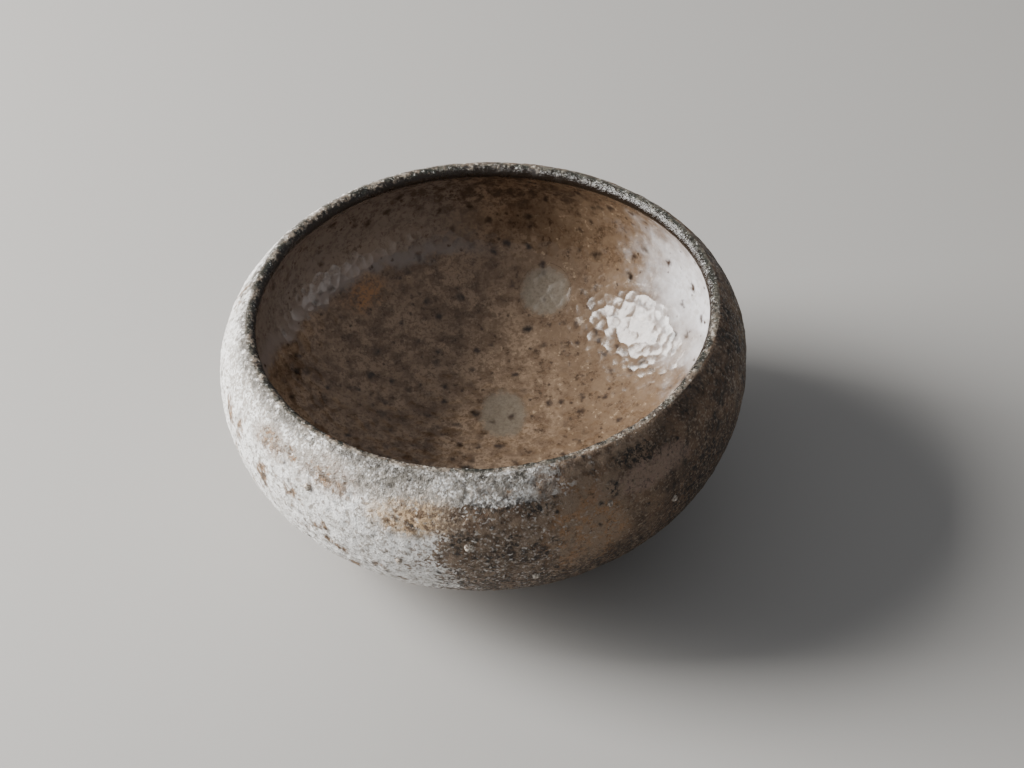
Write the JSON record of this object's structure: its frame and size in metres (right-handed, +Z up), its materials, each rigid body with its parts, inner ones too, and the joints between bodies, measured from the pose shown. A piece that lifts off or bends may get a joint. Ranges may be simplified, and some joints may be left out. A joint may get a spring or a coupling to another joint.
{
  "type": "go stone bowl",
  "caption": "Open, lidless round stoneware bowl with a rounded belly, a lip turned in over a wide mouth and a low foot ring, for holding loose game stones.",
  "frame": {"origin": "on the table under the middle of the foot ring", "axes": "+Z up through the mouth; +X towards the slightly higher side of the lip; the side shown in front faces -Y"},
  "size_m": [0.13, 0.131, 0.0618],
  "materials": {
    "clay_body": "unglazed, matt",
    "foot_ring": "unglazed, matt",
    "outer_glaze": "dry frosted ash crust",
    "rim_glaze": "glossy",
    "inner_glaze": "glossy",
    "wad_scars": "satin",
    "feldspar_grains": "satin"
  },
  "bodies": {
    "root": {"clay_body": "clay_body", "foot_ring": "foot_ring", "outer_glaze": "outer_glaze", "rim_glaze": "rim_glaze", "inner_glaze": "inner_glaze", "wad_scars": "wad_scars", "feldspar_grains": "feldspar_grains"}
  },
  "joints": []
}
